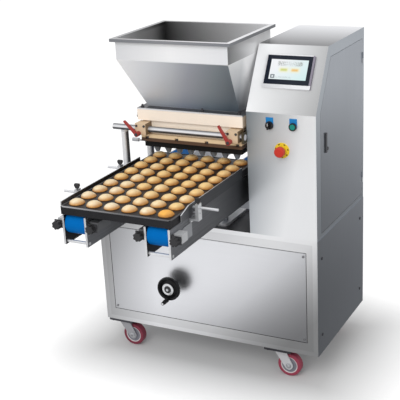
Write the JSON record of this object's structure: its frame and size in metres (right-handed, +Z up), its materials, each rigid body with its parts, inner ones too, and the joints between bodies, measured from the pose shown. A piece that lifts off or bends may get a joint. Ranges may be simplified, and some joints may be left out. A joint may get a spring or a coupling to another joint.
{
  "type": "cake depositor",
  "caption": "Tray-fed cake depositor: hopper over a metering head with nozzles, belt conveyors on a hand-cranked lift, control column with touch screen, cabinet on castors.",
  "frame": {"origin": "on the floor, below the middle of the overall box, which is the middle of the cabinet's width", "axes": "+Z up, +X to the operator's right, +Y from the infeed end of the conveyors to the rear"},
  "size_m": [0.995, 1.263, 1.405],
  "materials": {
    "stainless": "brushed along the sheet",
    "stainless_dark": "brushed, darker",
    "anodised": "pale anodised",
    "anodised_gold": "gold anodised",
    "plate_alu": "grey anodised",
    "bright_alu": "milled",
    "chromed": "polished",
    "black_plastic": "satin",
    "red_paint": "gloss",
    "red_plastic": "gloss",
    "green_plastic": "gloss",
    "belt_blue": "smooth",
    "castor_red": "satin",
    "tray_black": "non-stick coat",
    "cake_crumb": null,
    "motor_grey": "satin",
    "zinc": "zinc plated",
    "screen_glass": "flat"
  },
  "bodies": {
    "machine": {"base_cabinet": "stainless", "front_panel": "stainless", "lower_side_panel": "stainless_dark", "socket_screws": "zinc", "control_column": "stainless", "castor_plates": "zinc", "head_support_bars": "chromed", "hopper": "stainless", "manifold_block": "anodised", "pump_housing": "anodised", "outlet_bar": "anodised_gold", "nozzle_bar": "black_plastic", "nozzles": "black_plastic", "shaft_clamp_blocks": "anodised", "pump_motor": "motor_grey", "control_gear": "motor_grey", "touch_screen_frame": "bright_alu", "touch_screen_glass": "screen_glass", "lift_bushes": "bright_alu"},
    "lift": {"lift_frame": "stainless_dark", "conveyor_side_plates": "plate_alu", "conveyor_cross_rods": "chromed", "conveyor_belts": "belt_blue", "takeup_blocks": "bright_alu", "guide_clamps": "bright_alu", "conveyor_motor": "motor_grey"},
    "tray": {"baking_tray": "tray_black", "cakes": "cake_crumb"},
    "castor_fork_front_left": {"castor_fork_front_left": "zinc"},
    "castor_wheel_front_left": {"castor_wheel_front_left": "castor_red"},
    "castor_fork_front_right": {"castor_fork_front_right": "zinc"},
    "castor_wheel_front_right": {"castor_wheel_front_right": "castor_red"},
    "castor_fork_rear_left": {"castor_fork_rear_left": "zinc"},
    "castor_wheel_rear_left": {"castor_wheel_rear_left": "castor_red"},
    "castor_fork_rear_right": {"castor_fork_rear_right": "zinc"},
    "castor_wheel_rear_right": {"castor_wheel_rear_right": "castor_red"},
    "handwheel": {"handwheel": "black_plastic"},
    "handwheel_grip": {"handwheel_grip": "black_plastic"},
    "front_pulley_left": {"front_pulley_left": "bright_alu"},
    "front_pulley_right": {"front_pulley_right": "bright_alu"},
    "drive_roller": {"drive_roller": "bright_alu"},
    "takeup_knob_1": {"takeup_knob_1": "black_plastic"},
    "takeup_knob_2": {"takeup_knob_2": "black_plastic"},
    "takeup_knob_3": {"takeup_knob_3": "black_plastic"},
    "takeup_knob_4": {"takeup_knob_4": "black_plastic"},
    "guide_rail_left": {"guide_rail_left": "stainless"},
    "guide_knob_left_front": {"guide_knob_left_front": "black_plastic"},
    "guide_knob_left_rear": {"guide_knob_left_rear": "black_plastic"},
    "guide_rail_right": {"guide_rail_right": "stainless"},
    "guide_knob_right_front": {"guide_knob_right_front": "black_plastic"},
    "clamp_lever_left": {"clamp_lever_left": "red_paint"},
    "clamp_lever_right": {"clamp_lever_right": "red_paint"},
    "feed_roller_rear": {"feed_roller_rear": "stainless"},
    "feed_roller_front": {"feed_roller_front": "stainless"},
    "selector_knob": {"selector_knob": "black_plastic"},
    "start_button": {"start_button": "green_plastic"},
    "estop_button": {"estop_button": "red_plastic"},
    "side_door": {"side_door": "stainless_dark"},
    "door_handle": {"door_handle": "black_plastic"}
  },
  "joints": [
    {"name": "castor_swivel_front_left", "type": "hinge", "parent": "machine", "child": "castor_fork_front_left", "pos_m": [-0.428, 0.03, 0.11], "axis": [0, 0, 1], "continuous": true},
    {"name": "castor_roll_front_left", "type": "hinge", "parent": "castor_fork_front_left", "child": "castor_wheel_front_left", "pos_m": [-0.39, 0.03, 0.05], "axis": [0, 1, 0], "continuous": true},
    {"name": "castor_swivel_front_right", "type": "hinge", "parent": "machine", "child": "castor_fork_front_right", "pos_m": [0.316, 0.03, 0.11], "axis": [0, 0, 1], "continuous": true},
    {"name": "castor_roll_front_right", "type": "hinge", "parent": "castor_fork_front_right", "child": "castor_wheel_front_right", "pos_m": [0.354, 0.03, 0.05], "axis": [0, 1, 0], "continuous": true},
    {"name": "castor_swivel_rear_left", "type": "hinge", "parent": "machine", "child": "castor_fork_rear_left", "pos_m": [-0.428, 0.48, 0.11], "axis": [0, 0, 1], "continuous": true},
    {"name": "castor_roll_rear_left", "type": "hinge", "parent": "castor_fork_rear_left", "child": "castor_wheel_rear_left", "pos_m": [-0.39, 0.48, 0.05], "axis": [0, 1, 0], "continuous": true},
    {"name": "castor_swivel_rear_right", "type": "hinge", "parent": "machine", "child": "castor_fork_rear_right", "pos_m": [0.316, 0.48, 0.11], "axis": [0, 0, 1], "continuous": true},
    {"name": "castor_roll_rear_right", "type": "hinge", "parent": "castor_fork_rear_right", "child": "castor_wheel_rear_right", "pos_m": [0.354, 0.48, 0.05], "axis": [0, 1, 0], "continuous": true},
    {"name": "lift_height", "type": "slide", "parent": "machine", "child": "lift", "axis": [0, 0, 1], "range_m": [-0.04, 0.005]},
    {"name": "handwheel_turn", "type": "hinge", "parent": "machine", "child": "handwheel", "pos_m": [-0.142, -0.074, 0.351], "axis": [0, 1, 0], "range_deg": [-20, 118]},
    {"name": "grip_turn", "type": "hinge", "parent": "handwheel", "child": "handwheel_grip", "pos_m": [-0.142, -0.13, 0.308], "axis": [0, 1, 0], "continuous": true},
    {"name": "tray_travel", "type": "slide", "parent": "lift", "child": "tray", "axis": [0, 1, 0], "range_m": [0, 0.5]},
    {"name": "front_pulley_turn_left", "type": "hinge", "parent": "lift", "child": "front_pulley_left", "pos_m": [-0.196, -0.573, 0.82], "axis": [1, 0, 0], "continuous": true},
    {"name": "front_pulley_turn_right", "type": "hinge", "parent": "lift", "child": "front_pulley_right", "pos_m": [0.142, -0.573, 0.82], "axis": [1, 0, 0], "continuous": true},
    {"name": "drive_roller_turn", "type": "hinge", "parent": "lift", "child": "drive_roller", "pos_m": [-0.027, 0.585, 0.82], "axis": [1, 0, 0], "continuous": true},
    {"name": "takeup_turn_1", "type": "hinge", "parent": "lift", "child": "takeup_knob_1", "pos_m": [-0.267, -0.615, 0.82], "axis": [0, 1, 0], "continuous": true},
    {"name": "takeup_turn_2", "type": "hinge", "parent": "lift", "child": "takeup_knob_2", "pos_m": [-0.125, -0.615, 0.82], "axis": [0, 1, 0], "continuous": true},
    {"name": "takeup_turn_3", "type": "hinge", "parent": "lift", "child": "takeup_knob_3", "pos_m": [0.071, -0.615, 0.82], "axis": [0, 1, 0], "continuous": true},
    {"name": "takeup_turn_4", "type": "hinge", "parent": "lift", "child": "takeup_knob_4", "pos_m": [0.213, -0.615, 0.82], "axis": [0, 1, 0], "continuous": true},
    {"name": "guide_slide_left", "type": "slide", "parent": "lift", "child": "guide_rail_left", "axis": [-1, 0, 0], "range_m": [0, 0.012]},
    {"name": "guide_knob_turn_left_front", "type": "hinge", "parent": "lift", "child": "guide_knob_left_front", "pos_m": [-0.278, -0.46, 0.915], "axis": [0, 0, 1], "continuous": true},
    {"name": "guide_knob_turn_left_rear", "type": "hinge", "parent": "lift", "child": "guide_knob_left_rear", "pos_m": [-0.278, -0.155, 0.915], "axis": [0, 0, 1], "continuous": true},
    {"name": "guide_slide_right", "type": "slide", "parent": "lift", "child": "guide_rail_right", "axis": [1, 0, 0], "range_m": [0, 0.012]},
    {"name": "guide_knob_turn_right_front", "type": "hinge", "parent": "lift", "child": "guide_knob_right_front", "pos_m": [0.224, -0.46, 0.915], "axis": [0, 0, 1], "continuous": true},
    {"name": "clamp_lever_swing_left", "type": "hinge", "parent": "machine", "child": "clamp_lever_left", "pos_m": [-0.236, -0.066, 1.012], "axis": [0, 1, 0], "range_deg": [-40, 100]},
    {"name": "clamp_lever_swing_right", "type": "hinge", "parent": "machine", "child": "clamp_lever_right", "pos_m": [0.166, -0.066, 1.012], "axis": [0, 1, 0], "range_deg": [-40, 100]},
    {"name": "feed_roller_turn_rear", "type": "hinge", "parent": "machine", "child": "feed_roller_rear", "pos_m": [-0.027, 0.093, 1.029], "axis": [1, 0, 0], "continuous": true},
    {"name": "feed_roller_turn_front", "type": "hinge", "parent": "machine", "child": "feed_roller_front", "pos_m": [-0.027, 0.029, 1.029], "axis": [1, 0, 0], "continuous": true},
    {"name": "selector_turn", "type": "hinge", "parent": "machine", "child": "selector_knob", "pos_m": [0.311, -0.02, 1.076], "axis": [0, 1, 0], "range_deg": [-45, 45]},
    {"name": "start_press", "type": "slide", "parent": "machine", "child": "start_button", "axis": [0, 1, 0], "range_m": [0, 0.003], "stiffness_N_per_m": 1500},
    {"name": "estop_press", "type": "slide", "parent": "machine", "child": "estop_button", "axis": [0, 1, 0], "range_m": [0, 0.004], "stiffness_N_per_m": 2500},
    {"name": "door_swing", "type": "hinge", "parent": "machine", "child": "side_door", "pos_m": [0.4974, 0.52075, 0.98], "axis": [0, 0, 1], "range_deg": [0, 110]},
    {"name": "door_handle_turn", "type": "hinge", "parent": "side_door", "child": "door_handle", "pos_m": [0.495, 0.08, 0.968], "axis": [1, 0, 0], "range_deg": [0, 90]}
  ],
  "couplings": [
    {"joint": "handwheel_turn", "follows": "lift_height", "rad_per_m": -50},
    {"joint": "front_pulley_turn_left", "follows": "tray_travel", "rad_per_m": -25.7},
    {"joint": "front_pulley_turn_right", "follows": "tray_travel", "rad_per_m": -25.7},
    {"joint": "drive_roller_turn", "follows": "tray_travel", "rad_per_m": -25.7},
    {"joint": "feed_roller_turn_front", "follows": "feed_roller_turn_rear", "ratio": -1}
  ]
}
